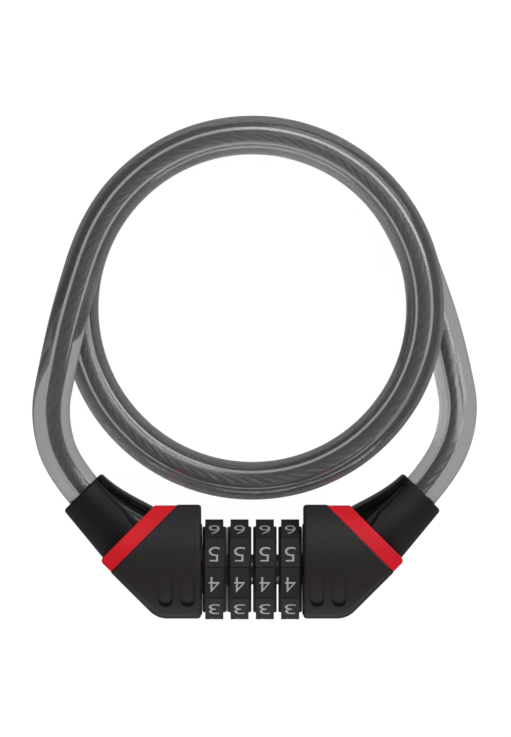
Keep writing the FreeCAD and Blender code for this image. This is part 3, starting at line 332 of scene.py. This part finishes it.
class Finish(Tree):
    """A material with one Principled shader, whose sockets take the constants."""

    def __init__(self, name, constants):
        self.material = bpy.data.materials.new(name)
        self.material.use_nodes = True
        super().__init__(self.material.node_tree, "ShaderNodeOutputMaterial")
        self.shader = self.add("ShaderNodeBsdfPrincipled", {}, constants)
        self.show(self.shader)

    def feed(self, name, wire):
        """The shader's socket of that name takes what the wire gives."""
        self.tree.links.new(wire.socket, self.shader.socket.node.inputs[name])

    def place(self):
        """The point in metres, in the frame that all pieces share."""
        return self.add("ShaderNodeTexCoord", {}, {}, "Object")

    def noise(self, place, size, detail):
        """Cloudy noise between 0 and 1, with lumps of that size in metres."""
        inputs = {"Vector": place, "Scale": 1 / size, "Detail": detail}
        return self.add("ShaderNodeTexNoise", {}, inputs)

    def tint(self, factor, colour, first, last):
        """Base Color goes from the first share of the colour, at a factor of 0, to the last."""
        inputs = {
            MIX_FACTOR: factor,
            MIX_FIRST: (*shaded(colour, first), 1),
            MIX_LAST: (*shaded(colour, last), 1),
        }
        mixed = self.add("ShaderNodeMix", {"data_type": "RGBA"}, inputs, MIX_RESULT)
        self.feed("Base Color", mixed)

    def bump(self, height, depth):
        """Height between 0 and 1 becomes relief of that depth in metres."""
        inputs = {"Height": height, "Distance": depth, "Strength": 1.0}
        self.feed("Normal", self.add("ShaderNodeBump", {}, inputs))


def shaded(colour, share):
    """That share of the colour: darker below 1 and lighter above it."""
    return tuple(share * part for part in colour)


def moulded(name, colour, roughness, grain, depth, level):
    """Moulded plastic: a fine spark-eroded grain, faint flow marks, and slightly uneven gloss.

    Grain is the size of its lumps and depth their relief, in metres. Level is how much it mirrors.
    """
    finish = Finish(name, {"Specular IOR Level": level})
    place = finish.place()
    fine = finish.noise(place, size=grain, detail=3.0)
    flow = finish.noise(place, size=0.009, detail=2.0)
    finish.tint(flow, colour, first=0.82, last=1.18)
    finish.feed("Roughness", roughness - 0.05 + 0.06 * flow + 0.04 * fine)
    finish.bump(fine, depth=depth)
    return finish.material


def sleeve_plastic(name, colour):
    """Matt moulded skin, and polished scoops beside it, whose colour is painted darker as painted
    shade.

    A point lies (SLEEVE_LINE - |x| + y) / sqrt 2 from a sleeve's centre line, towards the loop. The
    skin goes as far as SKIN_TO, and from POLISH_AND_SHADE_FROM on all is polished, and its colour
    is painted down to a quarter of the skin's as painted shade of the scoops.
    """
    finish = Finish(name, {"Specular IOR Level": 0.2})
    place = finish.place()
    fine = finish.noise(place, size=0.0003, detail=3.0)
    aside = finish.part(place, "X").size()
    out = math.sqrt(0.5) * (finish.part(place, "Y") + SLEEVE_LINE - aside)
    polish_and_shade = finish.add("ShaderNodeMapRange", {"interpolation_type": "SMOOTHSTEP"}, {
        "Value": out, "From Min": SKIN_TO, "From Max": POLISH_AND_SHADE_FROM})
    # Painted shade: the polished scoops get a quarter of the skin's colour.
    finish.tint(polish_and_shade, colour, first=1.0, last=0.25)
    finish.feed("Roughness", 0.55 + 0.06 * fine - 0.42 * polish_and_shade)
    finish.bump(fine, depth=0.000003)
    return finish.material


def turned_steel(name, colour, roughness):
    """Turned steel: fine rings round the X axis and a dull, slightly uneven plating."""
    finish = Finish(name, {"Metallic": 1.0})
    place = finish.place()
    squeezed = finish.add("ShaderNodeMapping", {}, {"Vector": place, "Scale": (60.0, 1.0, 1.0)})
    rings = finish.noise(squeezed, size=0.004, detail=3.0)
    cloud = finish.noise(place, size=0.003, detail=3.0)
    finish.tint(cloud, colour, first=0.75, last=1.0)
    finish.feed("Roughness", roughness + 0.12 * cloud - 0.06 * rings)
    finish.bump(rings, depth=0.00001)
    return finish.material


def printed(name, colour):
    """Thick print: slightly chalky, with a little wear."""
    finish = Finish(name, {})
    wear = finish.noise(finish.place(), size=0.0004, detail=4.0)
    finish.tint(wear, colour, first=0.86, last=1.0)
    finish.feed("Roughness", 0.5 + 0.15 * wear)
    finish.bump(wear, depth=0.000008)
    return finish.material


def wire_rope(name, colour, wires_shown):
    """Galvanised wires: U is the rope's length in metres, V counts its strands.

    Wires are the size of sin(pi (V wires_shown + U WIRE_SLANT)), so they run along the strands and
    slowly go across them. A strand's crown is the size of sin(pi V). Base Color is painted darker
    between the wires and towards the grooves between strands, as painted shade, and dims at random
    where the wire is dull.
    """
    finish = Finish(name, {"Metallic": 1.0})
    where = finish.add("ShaderNodeUVMap", {"uv_map": "rope"}, {})
    across = finish.part(where, "Y")
    wires = (wires_shown * across + WIRE_SLANT * finish.part(where, "X")).ridges()
    crown = across.ridges()
    dull = finish.noise(finish.place(), size=0.0015, detail=3.0)
    # Painted shade: darker between the wires and towards the grooves between strands; the dull
    # noise adds random tone.
    lit = (0.1 + 0.9 * wires) * (0.5 + 0.5 * dull) * (0.2 + 0.8 * crown)
    finish.tint(lit, colour, first=0.3, last=1.0)
    finish.feed("Roughness", 0.36 + 0.14 * dull)
    finish.bump(wires, depth=0.00008)
    return finish.material


def clear_sheath(name, colour):
    """Smoke-grey clear plastic.

    Light from a lamp crosses two surfaces on its way through, and each passes the square root of
    the colour.
    """
    finish = Finish(name, {
        "Base Color": (*colour, 1), "Transmission Weight": 0.9, "IOR": 1.45, "Roughness": 0.16,
        "Specular Tint": (0.8, 0.8, 0.8, 1)})
    passed = (*(math.sqrt(part) for part in colour), 1)
    lit = finish.add("ShaderNodeBsdfTransparent", {}, {"Color": passed})
    shadow = finish.ray("Is Shadow Ray")
    finish.show(finish.add("ShaderNodeMixShader", {}, {0: shadow, 1: finish.shader, 2: lit}))
    return finish.material


def plain_floor(name, colour):
    """Pale floor that looks white, and grey in gloss, and still takes a soft shadow."""
    finish = Finish(name, {
        "Base Color": (*colour, 1), "Roughness": 0.9, "Specular IOR Level": 0.0})
    mirrored = FLOOR_IN_GLOSS * finish.ray("Is Glossy Ray")
    through = finish.ray("Is Transmission Ray")
    shown = finish.ray("Is Camera Ray").greater(through.greater(mirrored))
    glow = finish.add("ShaderNodeEmission", {}, {"Strength": FLOOR_WHITE * shown})
    finish.show(finish.add("ShaderNodeAddShader", {}, {0: finish.shader, 1: glow}))
    return finish.material


def finish_nodes(slot, material):
    """Gives the material to every CAD node whose record names that slot."""
    for entry in frame["record"]["subparts"]:
        if entry["material_slot"] == slot:
            node = frame["nodes"][entry["node"]]
            node.data.materials.clear()
            node.data.materials.append(material)


# ---------------------------------------------------------------- surfaces

def mesh_piece(name, points, faces, material, smooth=True):
    """Adds a piece. Faces are arrays with a face's points in each row, one array for each kind."""
    rows = [row for kind in faces for row in kind.tolist()]
    mesh = bpy.data.meshes.new(name)
    mesh.from_pydata(points.tolist(), [], rows)
    mesh.materials.append(material)
    mesh.polygons.foreach_set("use_smooth", np.full(len(rows), smooth))
    piece = bpy.data.objects.new(name, mesh)
    bpy.context.scene.collection.objects.link(piece)
    return piece


def route_points():
    """Control points of the cable: left arm, the coil's turns from the top layer down, right arm.

    A coil point at angle t lies at centre + r (cos t, sin t), with r = radius / cos(half a step),
    so that the smooth line between the points has the coil's radius. A layer is level over the arc
    where the arms join it. Over the rest of the turn it goes down to the next one by s s (3 - 2 s)
    of the way, where s runs from 0 to 1.
    """
    angle = FIRST_POINT - COIL_STEP * np.arange(COIL_POINTS)
    past = JOINS_AT - angle
    layer = np.minimum(past // 360, len(LAYER_HEIGHTS) - 1).astype(int)
    ease = np.clip((past % 360 - LEVEL_TURN) / (360 - LEVEL_TURN), 0, 1)
    ease = ease * ease * (3 - 2 * ease)
    heights = np.array(LAYER_HEIGHTS)
    lower = heights[np.minimum(layer + 1, len(heights) - 1)]
    radius = COIL_RADIUS / math.cos(math.radians(COIL_STEP / 2))
    turn = np.radians(angle)
    coil = np.column_stack([
        COIL_CENTRE[0] + radius * np.cos(turn),
        COIL_CENTRE[1] + radius * np.sin(turn),
        heights[layer] + (lower - heights[layer]) * ease,
    ])
    points = np.vstack([LEFT_ARM, coil, RIGHT_ARM[::-1]]) * MM
    points[:, 1] += AXIS[1]
    return points


def cable_line(step):
    """Points a step apart on the cable's smooth line, and how far along it each of them lies.

    The route's points are the control points of that line, a NURBS curve of order 3. Its own points
    are read as a bare mesh, and those a step apart lie between them by length.
    """
    controls = route_points()
    curve = bpy.data.curves.new("cable_line", "CURVE")
    curve.dimensions = "3D"
    curve.resolution_u = LINE_POINTS
    spline = curve.splines.new("NURBS")
    spline.points.add(len(controls) - 1)
    spline.points.foreach_set("co", np.column_stack([controls, np.ones(len(controls))]).ravel())
    spline.order_u = 3
    spline.use_endpoint_u = True
    holder = bpy.data.objects.new("cable_line", curve)
    bare = bpy.data.meshes.new_from_object(holder)
    line = np.empty(len(bare.vertices) * 3)
    bare.vertices.foreach_get("co", line)
    line = line.reshape(-1, 3)
    bpy.data.objects.remove(holder)
    bpy.data.curves.remove(curve)
    bpy.data.meshes.remove(bare)
    run = np.concatenate([[0], np.cumsum(np.linalg.norm(np.diff(line, axis=0), axis=1))])
    at = np.linspace(0, run[-1], round(run[-1] / step) + 1)
    return np.column_stack([np.interp(at, run, line[:, k]) for k in range(3)]), at


def directions(line):
    """Unit vectors along the line, left = Z x ahead, which is level, and up = ahead x left."""
    ahead = np.gradient(line, axis=0)
    ahead /= np.linalg.norm(ahead, axis=1)[:, None]
    left = np.cross((0, 0, 1), ahead)
    left /= np.linalg.norm(left, axis=1)[:, None]
    return ahead, left, np.cross(ahead, left)


def towards_inside(line, drift):
    """The line moved towards the inside of its bends.

    A bend is the change of direction in a metre of the line, which points to the bend's centre. A
    point moves by drift x the coil's radius x the bend's mean over EASED_OVER, which is drift in
    the coil and less in wider bends.
    """
    ahead, _, _ = directions(line)
    step = np.linalg.norm(np.gradient(line, axis=0), axis=1)
    bend = np.gradient(ahead, axis=0) / step[:, None]
    width = 2 * round(EASED_OVER / step.mean() / 2) + 1
    padded = np.pad(bend, ((width // 2, width // 2), (0, 0)), mode="edge")
    mean = [np.convolve(padded[:, k], np.ones(width) / width, "valid") for k in range(3)]
    return line + drift * COIL_RADIUS * MM * np.column_stack(mean)


def circle(count):
    """Angles of that many points, evenly round from 0."""
    return 2 * np.pi * np.arange(count) / count


def strands_outline(turn, rope, strands):
    """Radii at the angles turn of the outline of round strands that touch.

    With half the angle from one strand to the next as h, the strands' centres lie on a circle of
    radius c = rope / 2 / (1 + sin h), and a strand's radius is s = c sin h. At an angle a from the
    middle of a strand the outline lies at c cos a + sqrt(s s - (c sin a)(c sin a)).
    """
    half = np.pi / strands
    off = (turn + half) % (2 * half) - half
    centres = rope / 2 / (1 + np.sin(half))
    strand = centres * np.sin(half)
    beyond = np.sqrt(np.maximum(strand**2 - (centres * np.sin(off))**2, 0))
    return centres * np.cos(off) + beyond


def carried(line, radii, angles):
    """A round profile carried along a line.

    A point of a row lies at line + r (cos a left + sin a up), with its radius r and its angle a.
    The angles have one row for all, or a row for each point of the line where the profile turns.
    """
    _, left, up = directions(line)
    sideways = radii * np.cos(angles)
    upward = radii * np.sin(angles)
    points = line[:, None] + sideways[..., None] * left[:, None] + upward[..., None] * up[:, None]
    return points.reshape(-1, 3)


def tube_faces(rows, columns, first=0, inward=False):
    """Quads of a tube of rows of points, each row closed on itself, from the point numbered first.

    They join each point and the one beside it with those two of the next row.
    """
    row, column = np.meshgrid(np.arange(rows - 1), np.arange(columns), indexing="ij")
    here = row * columns + column
    beside = row * columns + (column + 1) % columns
    faces = np.stack([here, beside, beside + columns, here + columns], axis=-1)
    faces = faces.reshape(-1, 4) + first
    return faces[:, ::-1] if inward else faces


def ring_faces(outer, inner):
    """Triangles of the flat ring between two rows of points that run round it the same way.

    A point of a row of n points lies k/n of the way round. The ring is walked once, and each step
    goes on along the row whose next gap has its middle first. Its triangle has the two points where
    the walk stands and the one it goes on to.
    """
    middles = np.concatenate([(np.arange(len(row)) + 0.5) / len(row) for row in (outer, inner)])
    on_outer = np.argsort(middles, kind="stable") < len(outer)
    outer_at = np.cumsum(on_outer) - on_outer
    inner_at = np.cumsum(~on_outer) - ~on_outer
    next_outer = outer[(outer_at + 1) % len(outer)]
    next_inner = inner[(inner_at + 1) % len(inner)]
    ahead = np.where(on_outer, next_outer, next_inner)
    return np.column_stack([outer[outer_at % len(outer)], ahead, inner[inner_at % len(inner)]])


# ---------------------------------------------------------------- operators

class CABLELOCK_OT_sheath(bpy.types.Operator):
    """Clear tube of the cable: two round walls, outside and bore, carried along its line"""

    bl_idname = "cablelock.sheath"
    bl_label = "Sheath"

    def execute(self, context):
        sizes = context.scene.cable_sizes
        line, run = cable_line(SHEATH_STEP)
        rows = len(line)
        outside = carried(line, sizes.sheath / 2, circle(AROUND_SHEATH))
        bore_line = towards_inside(line, sizes.drift)
        bore = carried(bore_line, sizes.bore / 2, circle(AROUND_BORE))
        outer = np.arange(AROUND_SHEATH)
        inner = len(outside) + np.arange(AROUND_BORE)
        last_outer = outer + (rows - 1) * AROUND_SHEATH
        last_inner = inner + (rows - 1) * AROUND_BORE
        faces = [
            tube_faces(rows, AROUND_SHEATH),
            tube_faces(rows, AROUND_BORE, first=len(outside), inward=True),
            ring_faces(outer, inner)[:, ::-1],
            ring_faces(last_outer, last_inner),
        ]
        material = clear_sheath("clear_sheath", context.scene.lock_colours.sheath)
        piece = mesh_piece("cable_sheath", np.vstack([outside, bore]), faces, material)
        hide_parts("cable_coil", "cable_arm_left", "cable_arm_right")
        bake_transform(piece)
        return {"FINISHED"}


class CABLELOCK_OT_rope(bpy.types.Operator):
    """Steel rope: the outline of its strands, turned once per lay along the cable's line"""

    bl_idname = "cablelock.rope"
    bl_label = "Rope"

    def execute(self, context):
        sizes = context.scene.cable_sizes
        line, run = cable_line(ROPE_STEP)
        columns = sizes.strands * AROUND_STRAND
        radii = strands_outline(circle(columns), sizes.rope, sizes.strands)
        angles = circle(columns) + (2 * np.pi * run / sizes.lay)[:, None]
        points = carried(towards_inside(line, sizes.drift), radii, angles)
        first = np.arange(columns)
        last = first + (len(line) - 1) * columns
        faces = [tube_faces(len(line), columns), first[None, ::-1], last[None]]
        material = wire_rope("wire_rope", context.scene.lock_colours.steel, sizes.wires)
        piece = mesh_piece("cable_rope", points, faces, material)
        self.unwrap(piece.data, run, columns, sizes.strands)
        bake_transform(piece)
        return {"FINISHED"}

    def unwrap(self, mesh, run, columns, strands):
        """U is the length along the rope in metres, and V counts the strands."""
        row, column = np.meshgrid(np.arange(len(run) - 1), np.arange(columns), indexing="ij")
        u = np.stack([run[row], run[row], run[row + 1], run[row + 1]], axis=-1).ravel()
        v = np.stack([column, column + 1, column + 1, column], axis=-1).ravel()
        end = np.arange(columns)
        u = np.concatenate([u, np.repeat([run[0], run[-1]], columns)])
        v = np.concatenate([v, end[::-1], end]) * strands / columns
        layer = mesh.uv_layers.new(name="rope")
        layer.data.foreach_set("uv", np.stack([u, v], axis=-1).ravel())


class CABLELOCK_OT_numerals(bpy.types.Operator):
    """Numbers 0 to 9 on the facets of each dial, one piece for each dial"""

    bl_idname = "cablelock.numerals"
    bl_label = "Numerals"

    def execute(self, context):
        sizes = context.scene.numeral_sizes
        material = printed("numeral_print", context.scene.lock_colours.numeral)
        digits = [self.digit(str(number), sizes) for number in range(NUMERALS)]
        for dial in range(1, DIALS + 1):
            self.on_dial(dial, digits, sizes, material)
        return {"FINISHED"}

    def digit(self, text, sizes):
        """Points and triangles of one numeral, centred, at its height and width.

        A 1 is as high as the others and keeps its own proportions.
        """
        letters = bpy.data.curves.new("numeral", "FONT")
        letters.body = text
        letters.offset = -DIGIT_THINNER
        letters.resolution_u = DIGIT_POINTS
        holder = bpy.data.objects.new("numeral", letters)
        flat = bpy.data.meshes.new_from_object(holder)
        flat.calc_loop_triangles()
        points = np.empty(len(flat.vertices) * 3)
        flat.vertices.foreach_get("co", points)
        points = points.reshape(-1, 3)[:, :2]
        faces = np.empty(len(flat.loop_triangles) * 3, int)
        flat.loop_triangles.foreach_get("vertices", faces)
        bpy.data.objects.remove(holder)
        bpy.data.curves.remove(letters)
        bpy.data.meshes.remove(flat)
        low, high = points.min(axis=0), points.max(axis=0)
        share = sizes.height / (high[1] - low[1])
        widen = share if text == "1" else sizes.width / (high[0] - low[0])
        return (points - (low + high) / 2) * (widen, share), faces.reshape(-1, 3)

    def on_dial(self, dial, digits, sizes, material):
        """The numerals of one dial.

        On the facet at angle t, a numeral's point (x, y) goes to centre - x X + v along + d normal.
        There normal = (0, sin t, cos t), along = (0, -cos t, sin t), v = y + shift, and d = the
        facet's middle + rise + v v / (2 hollow's radius), so that it follows the hollow.
        """
        centre = np.mean(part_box(f"dial_ring_{dial}"), axis=0)
        points, faces, count = [], [], 0
        for number, (flat, triangles) in enumerate(digits):
            turn = math.radians(SEAM_TURN + FACET_TURN * (number - SEAM_NUMBER + 0.5))
            normal = np.array((0, math.sin(turn), math.cos(turn)))
            along = np.array((0, -math.cos(turn), math.sin(turn)))
            across = np.array((-1, 0, 0))
            up = flat[:, 1:] + sizes.shift
            out = FACET_MIDDLE + sizes.rise + up**2 / (2 * FACET_HOLLOW)
            points.append(centre + flat[:, :1] * across + up * along + out * normal)
            faces.append(triangles + count)
            count += len(flat)
        piece = mesh_piece(f"numerals_{dial}", np.vstack(points), faces, material, smooth=False)
        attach(piece, f"dial_{dial}")


class CABLELOCK_OT_plastics(bpy.types.Operator):
    """Moulded plastic on housings, collars, sleeves, dials and spacer"""

    bl_idname = "cablelock.plastics"
    bl_label = "Plastics"

    def execute(self, context):
        colours = context.scene.lock_colours
        finish_nodes("housing", moulded(
            "housing_plastic", colours.housing,
            roughness=0.5, grain=0.00018, depth=0.00001, level=0.16))
        finish_nodes("collar", moulded(
            "collar_plastic", colours.collar,
            roughness=0.45, grain=0.00025, depth=0.000006, level=0.12))
        finish_nodes("sleeve", sleeve_plastic("sleeve_plastic", colours.sleeve))
        finish_nodes("dial", moulded(
            "dial_plastic", colours.dial,
            roughness=0.55, grain=0.00015, depth=0.000006, level=0.1))
        finish_nodes("spacer", moulded(
            "spacer_plastic", colours.dial,
            roughness=0.6, grain=0.0002, depth=0.00001, level=0.2))
        return {"FINISHED"}


class CABLELOCK_OT_metals(bpy.types.Operator):
    """Steel on spindle, shaft, ferrules, pins, code rings and springs"""

    bl_idname = "cablelock.metals"
    bl_label = "Metals"

    def execute(self, context):
        steel = context.scene.lock_colours.steel
        for slot, name, share, roughness in (
            ("steel", "plated_steel", 0.7, 0.34),
            ("spring_steel", "spring_steel", 0.55, 0.28),
            ("code_ring", "code_ring_zinc", 0.4, 0.45),
        ):
            finish_nodes(slot, turned_steel(name, shaded(steel, share), roughness))
        return {"FINISHED"}


class CABLELOCK_OT_stage(bpy.types.Operator):
    """Floor, soft lamps, pale surroundings and the camera straight above"""

    bl_idname = "cablelock.stage"
    bl_label = "Stage"

    def execute(self, context):
        scene = context.scene
        scene.view_settings.view_transform = "Standard"
        self.floor()
        self.surroundings(scene)
        self.lamps(scene, scene.stage_settings.lamps)
        self.camera(scene, scene.stage_settings)
        return {"FINISHED"}

    def floor(self):
        corners = np.array([(-1, -1, 0), (1, -1, 0), (1, 1, 0), (-1, 1, 0)])
        material = plain_floor("floor", FLOOR_COLOUR)
        floor = mesh_piece("floor", FLOOR_REACH * corners, [np.array([(0, 1, 2, 3)])], material)

    def surroundings(self, scene):
        """A grey room that is lighter on the side of the housings and dims towards the loop."""
        world = bpy.data.worlds.new("surroundings")
        world.use_nodes = True
        room = Tree(world.node_tree, "ShaderNodeOutputWorld")
        direction = room.add("ShaderNodeTexCoord", {}, {}, "Generated")
        stops = [(position, (grey, grey, grey, 1)) for position, grey in ROOM_GREYS]
        ramp = {"Fac": room.part(direction, "Y")}
        colour = room.add("ShaderNodeValToRGB", {"stops": stops}, ramp)
        room.show(room.add("ShaderNodeBackground", {}, {"Color": colour}))
        scene.world = world

    def lamps(self, scene, strength):
        """Area lamps, which shine along their own -Z, turned to the lamps' middle."""
        for name, where, width, height, watts in LAMPS:
            data = bpy.data.lights.new(name, "AREA")
            data.shape = "RECTANGLE"
            data.size = width
            data.size_y = height
            data.energy = watts * strength
            lamp = bpy.data.objects.new(name, data)
            lamp.location = np.add(LAMPS_MIDDLE, where)
            lamp.rotation_euler = (-Vector(where)).to_track_quat("-Z", "Y").to_euler()
            scene.collection.objects.link(lamp)

    def camera(self, scene, settings):
        """A camera that looks straight down and sees view_height at its distance."""
        data = bpy.data.cameras.new("camera")
        data.sensor_width = SENSOR
        data.lens = SENSOR * settings.distance / settings.view_height
        camera = bpy.data.objects.new("camera", data)
        camera.location = np.add(LOOKS_AT, (0, 0, settings.distance))
        scene.collection.objects.link(camera)
        scene.camera = camera


class CABLELOCK_PT_panel(bpy.types.Panel):
    """Lists the steps and their sizes"""

    bl_idname = "CABLELOCK_PT_panel"
    bl_label = "Cable Lock"
    bl_space_type = "VIEW_3D"
    bl_region_type = "UI"
    bl_category = "Cable Lock"

    def draw(self, context):
        for step in STEPS:
            self.layout.operator(step.bl_idname)
        for name, kind in GROUPS.items():
            box = self.layout.box()
            for size in kind.__annotations__:
                box.prop(getattr(context.scene, name), size)


GROUPS = {
    "cable_sizes": CableSizes,
    "numeral_sizes": NumeralSizes,
    "lock_colours": LockColours,
    "stage_settings": StageSettings,
}
# The rope comes before the sheath.
STEPS = [
    CABLELOCK_OT_stage,
    CABLELOCK_OT_rope,
    CABLELOCK_OT_sheath,
    CABLELOCK_OT_numerals,
    CABLELOCK_OT_plastics,
    CABLELOCK_OT_metals,
]


def register():
    for kind in [*GROUPS.values(), *STEPS, CABLELOCK_PT_panel]:
        bpy.utils.register_class(kind)
    for name, kind in GROUPS.items():
        setattr(bpy.types.Scene, name, bpy.props.PointerProperty(type=kind))


def unregister():
    for name in GROUPS:
        delattr(bpy.types.Scene, name)
    for kind in [CABLELOCK_PT_panel, *STEPS[::-1], *list(GROUPS.values())[::-1]]:
        bpy.utils.unregister_class(kind)


def main():
    register()
    for step in STEPS:
        group, name = step.bl_idname.split(".")
        getattr(getattr(bpy.ops, group), name)()


if __name__ == "__main__":
    main()
